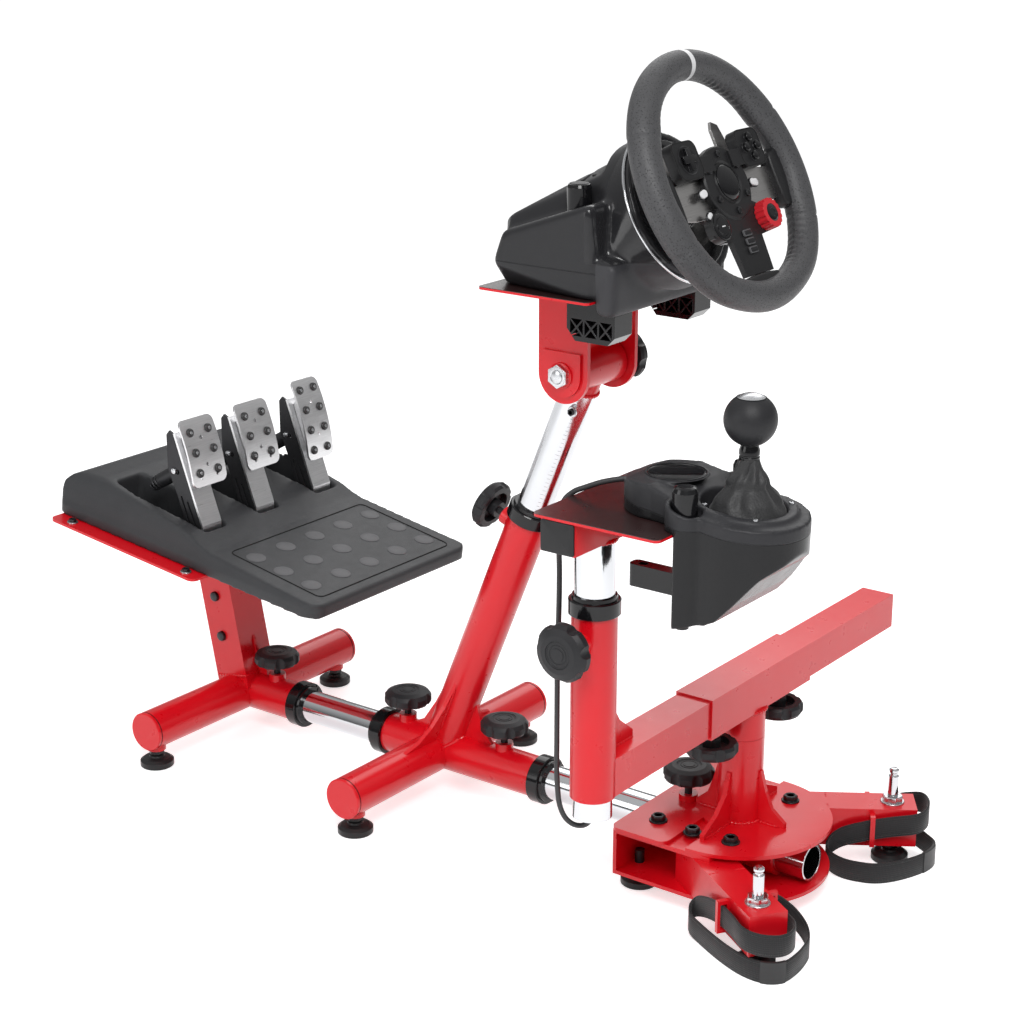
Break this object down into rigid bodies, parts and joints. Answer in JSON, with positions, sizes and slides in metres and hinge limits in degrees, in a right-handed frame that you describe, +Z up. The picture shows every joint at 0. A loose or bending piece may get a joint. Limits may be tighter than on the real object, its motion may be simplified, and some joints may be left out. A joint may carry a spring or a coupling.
{
  "type": "sim racing cockpit",
  "caption": "Freestanding sim racing cockpit: steering wheel, pedals and gear shifter on an adjustable tubular stand that pins to a swivel chair's base.",
  "frame": {"origin": "middle of the bounding box on the floor", "axes": "+Y forward towards the pedals, +X the driver's right, +Z up"},
  "size_m": [0.616, 1.0617, 0.8448],
  "materials": {
    "chrome": "polished",
    "red_paint": "gloss powder coat",
    "black_plastic": "satin",
    "grey_plastic": "fine grain",
    "rubber": "matt",
    "dark_steel": "satin black",
    "brushed": "brushed",
    "rim_leather": "stitched grain",
    "boot_leather": "soft",
    "red_plastic": "satin",
    "white_plastic": "satin",
    "webbing": "woven",
    "lead_rubber": "matt",
    "foot_rubber": "matt"
  },
  "bodies": {
    "spine": {"spine_tube": "chrome"},
    "pedal_frame": {"front_crossbar": "red_paint", "front_feet": "foot_rubber", "front_collar": "black_plastic", "front_knob": "black_plastic", "pedal_stem": "red_paint", "pedal_plate": "red_paint", "pedal_base": "grey_plastic"},
    "clutch_pedal": {"clutch_arm": "dark_steel", "clutch_face": "brushed"},
    "brake_pedal": {"brake_arm": "dark_steel", "brake_face": "brushed"},
    "throttle_pedal": {"throttle_arm": "dark_steel", "throttle_face": "brushed"},
    "mid_frame": {"mid_crossbar": "red_paint", "mid_feet": "foot_rubber", "mid_collars": "black_plastic", "mid_knobs": "black_plastic", "column_tube": "red_paint"},
    "column": {"column_mast": "chrome", "mast_head": "red_paint"},
    "wheel_stand": {"yoke": "red_paint", "wheel_deck": "red_paint", "wheelbase": "grey_plastic", "wheelbase_clamps": "black_plastic", "tilt_bolt": "black_plastic"},
    "steering_wheel": {"wheel_rim": "rim_leather", "wheel_spokes": "brushed", "wheel_hub": "black_plastic"},
    "left_shift_paddle": {"left_paddle": "brushed"},
    "right_shift_paddle": {"right_paddle": "brushed"},
    "dial": {"mode_dial": "red_plastic"},
    "rear_frame": {"base_box": "red_paint", "base_plate": "red_paint", "rear_post": "red_paint", "legs": "red_paint", "stem_pins": "chrome", "straps": "webbing", "rear_feet": "foot_rubber", "rear_knob": "black_plastic"},
    "swing_sleeve": {"arm_sleeve": "red_paint", "sleeve_knobs": "black_plastic"},
    "shifter_arm": {"slide_arm": "red_paint", "shifter_post": "red_paint", "post_collar": "black_plastic", "post_knob": "black_plastic"},
    "shifter_stand": {"shifter_mast": "chrome", "shifter_deck": "red_paint", "shifter_body": "grey_plastic", "shifter_clamp": "black_plastic", "boot": "boot_leather", "shifter_lead": "lead_rubber"},
    "gimbal": {"shift_gimbal": "brushed"},
    "lever": {"gear_lever": "black_plastic"}
  },
  "joints": [
    {"name": "pedal_frame_slide", "type": "slide", "parent": "spine", "child": "pedal_frame", "axis": [0, 1, 0], "range_m": [-0.02, 0.04]},
    {"name": "clutch_press", "type": "hinge", "parent": "pedal_frame", "child": "clutch_pedal", "pos_m": [0.02, 0.33415, 0.26397], "axis": [-1, 0, 0], "range_deg": [0, 16], "stiffness_Nm_per_rad": 12, "springref_deg": -11.46},
    {"name": "brake_press", "type": "hinge", "parent": "pedal_frame", "child": "brake_pedal", "pos_m": [0.02, 0.33415, 0.26397], "axis": [-1, 0, 0], "range_deg": [0, 14], "stiffness_Nm_per_rad": 20, "springref_deg": -11.46},
    {"name": "throttle_press", "type": "hinge", "parent": "pedal_frame", "child": "throttle_pedal", "pos_m": [0.02, 0.33415, 0.26397], "axis": [-1, 0, 0], "range_deg": [0, 16], "stiffness_Nm_per_rad": 8, "springref_deg": -11.46},
    {"name": "mid_frame_slide", "type": "slide", "parent": "spine", "child": "mid_frame", "axis": [0, 1, 0], "range_m": [-0.06, 0.05]},
    {"name": "column_height", "type": "slide", "parent": "mid_frame", "child": "column", "axis": [0, -0.3827, 0.9239], "range_m": [-0.05, 0.08]},
    {"name": "wheel_deck_tilt", "type": "hinge", "parent": "column", "child": "wheel_stand", "pos_m": [0.02, -0.1416, 0.52087], "axis": [1, 0, 0], "range_deg": [-12, 15]},
    {"name": "wheel_turn", "type": "hinge", "parent": "wheel_stand", "child": "steering_wheel", "pos_m": [0.02, -0.2981, 0.72277], "axis": [0, -0.8902, 0.4555], "range_deg": [-450, 450]},
    {"name": "left_paddle_pull", "type": "hinge", "parent": "steering_wheel", "child": "left_shift_paddle", "pos_m": [-0.019, -0.26809, 0.72763], "axis": [0, -0.4555, -0.8902], "range_deg": [0, 4], "stiffness_Nm_per_rad": 2, "springref_deg": -5.73},
    {"name": "right_paddle_pull", "type": "hinge", "parent": "steering_wheel", "child": "right_shift_paddle", "pos_m": [0.059, -0.26809, 0.72763], "axis": [0, 0.4555, 0.8902], "range_deg": [0, 4], "stiffness_Nm_per_rad": 2, "springref_deg": -5.73},
    {"name": "dial_turn", "type": "hinge", "parent": "steering_wheel", "child": "dial", "pos_m": [0.061, -0.31632, 0.68716], "axis": [0, -0.8902, 0.4555], "continuous": true},
    {"name": "rear_frame_slide", "type": "slide", "parent": "spine", "child": "rear_frame", "axis": [0, -1, 0], "range_m": [-0.05, 0.025]},
    {"name": "arm_swing", "type": "hinge", "parent": "rear_frame", "child": "swing_sleeve", "pos_m": [0.02, -0.3369, 0.176], "axis": [0, 0, 1], "range_deg": [-25, 25]},
    {"name": "arm_slide", "type": "slide", "parent": "swing_sleeve", "child": "shifter_arm", "axis": [-1, 0, 0], "range_m": [-0.06, 0.08]},
    {"name": "shifter_height", "type": "slide", "parent": "shifter_arm", "child": "shifter_stand", "axis": [0, 0, 1], "range_m": [-0.04, 0.08], "deforming": ["shifter_lead"]},
    {"name": "gate_rock", "type": "hinge", "parent": "shifter_stand", "child": "gimbal", "pos_m": [-0.221, -0.4738, 0.468], "axis": [0, 1, 0], "range_deg": [-9, 9], "stiffness_Nm_per_rad": 3, "deforming": ["boot"]},
    {"name": "gear_select", "type": "hinge", "parent": "gimbal", "child": "lever", "pos_m": [-0.221, -0.4738, 0.468], "axis": [-1, 0, 0], "range_deg": [-11, 11], "deforming": ["boot"]}
  ]
}
